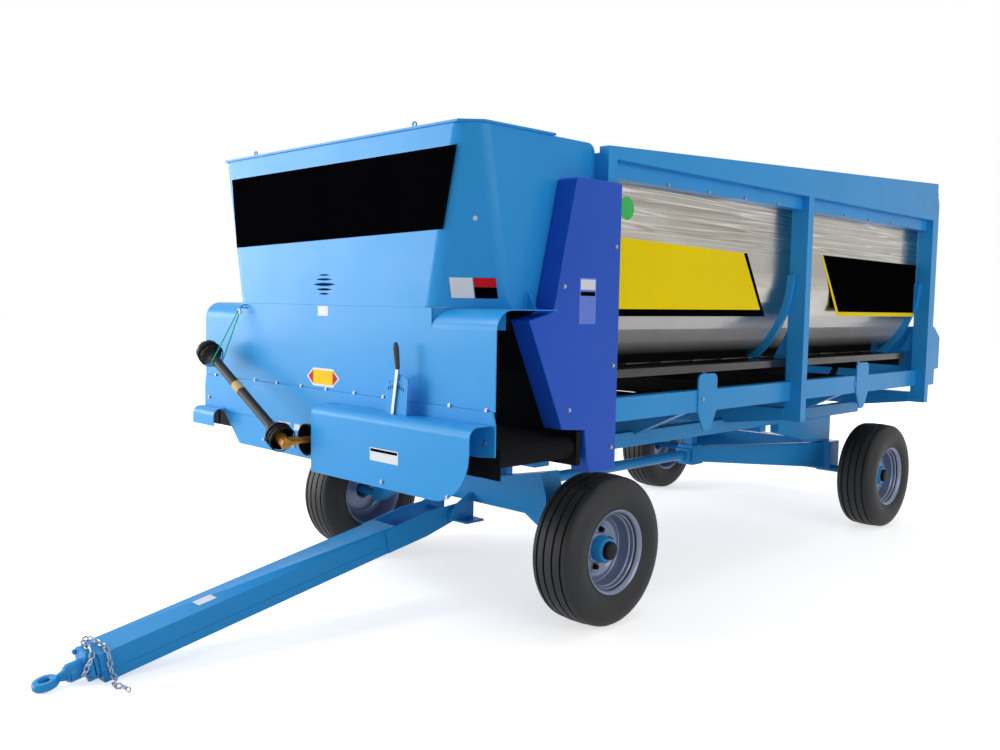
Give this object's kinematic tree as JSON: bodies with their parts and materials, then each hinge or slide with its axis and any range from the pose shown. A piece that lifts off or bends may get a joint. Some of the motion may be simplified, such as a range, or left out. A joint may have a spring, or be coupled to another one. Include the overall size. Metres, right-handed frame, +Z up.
{
  "type": "feed distributor wagon",
  "caption": "Towed four-wheel feed wagon with an open load space, floor conveyor, front beaters and a cross belt that discharges to either side.",
  "frame": {"origin": "centre of the bounding box on the ground under the tyres", "axes": "+Z up, -Y forward along the drawbar, +X to the wagon's left side"},
  "size_m": [2.61, 6.9006, 2.765],
  "materials": {
    "sky_blue_paint": "glossy sky blue enamel",
    "royal_blue_paint": "glossy royal blue enamel",
    "stainless_sheet": "bright rolled stainless sheet",
    "black_steel": "satin black",
    "belt_rubber": "matt black belt",
    "black_plastic": "moulded black",
    "zinc_plate": "zinc plated",
    "rim_silver": "silver rim paint",
    "tyre_rubber": "matt black tyre",
    "gold_zinc_plate": "gold passivated zinc",
    "green_rope": "twisted green rope",
    "grey_grip": "grey moulded grip"
  },
  "bodies": {
    "root": {"chassis": "sky_blue_paint", "side_frame_left": "sky_blue_paint", "side_frame_right": "sky_blue_paint", "side_sheet_front_left": "stainless_sheet", "side_sheet_front_right": "stainless_sheet", "side_sheet_rear_left": "stainless_sheet", "side_sheet_rear_right": "stainless_sheet", "floor_deck": "stainless_sheet", "floor_conveyor": "black_steel", "rear_wall": "stainless_sheet", "tail_housing": "sky_blue_paint", "front_box": "sky_blue_paint", "front_rim": "sky_blue_paint", "hood": "sky_blue_paint", "lip_plate": "sky_blue_paint", "apron": "sky_blue_paint", "drive_cover": "sky_blue_paint", "end_cover": "sky_blue_paint", "side_cheek_left": "black_steel", "side_cheek_right": "black_steel", "chain_guard_left": "royal_blue_paint", "chain_guard_right": "royal_blue_paint", "chute_back": "black_steel", "cross_belt": "belt_rubber", "belt_rail_front": "black_steel", "belt_rail_rear": "black_steel", "belt_roller_left": "black_steel", "belt_roller_right": "black_steel", "lever_quadrant": "zinc_plate", "gate_lever": "zinc_plate", "lever_grip": "grey_grip", "input_shield": "black_plastic", "drive_shaft": "gold_zinc_plate", "shaft_guard": "black_plastic", "tie_rope": "green_rope", "rear_axle": "sky_blue_paint", "reach": "sky_blue_paint", "hound_post": "sky_blue_paint", "rear_bolster_left": "sky_blue_paint", "rear_bolster_right": "sky_blue_paint", "front_bolster": "sky_blue_paint"},
    "dolly": {"front_axle": "sky_blue_paint"},
    "drawbar": {"drawbar": "sky_blue_paint", "hitch_head": "sky_blue_paint", "safety_chain": "zinc_plate"},
    "wheel_front_left": {"tyre_front_left": "tyre_rubber", "rim_front_left": "rim_silver"},
    "wheel_front_right": {"tyre_front_right": "tyre_rubber", "rim_front_right": "rim_silver"},
    "wheel_rear_left": {"tyre_rear_left": "tyre_rubber", "rim_rear_left": "rim_silver"},
    "wheel_rear_right": {"tyre_rear_right": "tyre_rubber", "rim_rear_right": "rim_silver"},
    "beater_lower": {"beater_lower": "sky_blue_paint"},
    "beater_upper": {"beater_upper": "sky_blue_paint"}
  },
  "joints": [
    {"name": "steer", "type": "hinge", "parent": "root", "child": "dolly", "pos_m": [0, -0.88468, 0.7803], "axis": [0, 0, 1], "range_deg": [-45, 45]},
    {"name": "drawbar_lift", "type": "hinge", "parent": "dolly", "child": "drawbar", "pos_m": [0, -1.09468, 0.46961], "axis": [-1, 0, 0], "range_deg": [0, 20]},
    {"name": "wheel_front_left_spin", "type": "hinge", "parent": "dolly", "child": "wheel_front_left", "pos_m": [1.055, -0.88468, 0.41], "axis": [1, 0, 0], "continuous": true},
    {"name": "wheel_front_right_spin", "type": "hinge", "parent": "dolly", "child": "wheel_front_right", "pos_m": [-1.055, -0.88468, 0.41], "axis": [1, 0, 0], "continuous": true},
    {"name": "wheel_rear_left_spin", "type": "hinge", "parent": "root", "child": "wheel_rear_left", "pos_m": [1.055, 2.62532, 0.41], "axis": [1, 0, 0], "continuous": true},
    {"name": "wheel_rear_right_spin", "type": "hinge", "parent": "root", "child": "wheel_rear_right", "pos_m": [-1.055, 2.62532, 0.41], "axis": [1, 0, 0], "continuous": true},
    {"name": "beater_lower_spin", "type": "hinge", "parent": "root", "child": "beater_lower", "pos_m": [0, -1.33468, 1.86], "axis": [1, 0, 0], "continuous": true},
    {"name": "beater_upper_spin", "type": "hinge", "parent": "root", "child": "beater_upper", "pos_m": [0, -1.33468, 2.26], "axis": [1, 0, 0], "continuous": true}
  ]
}
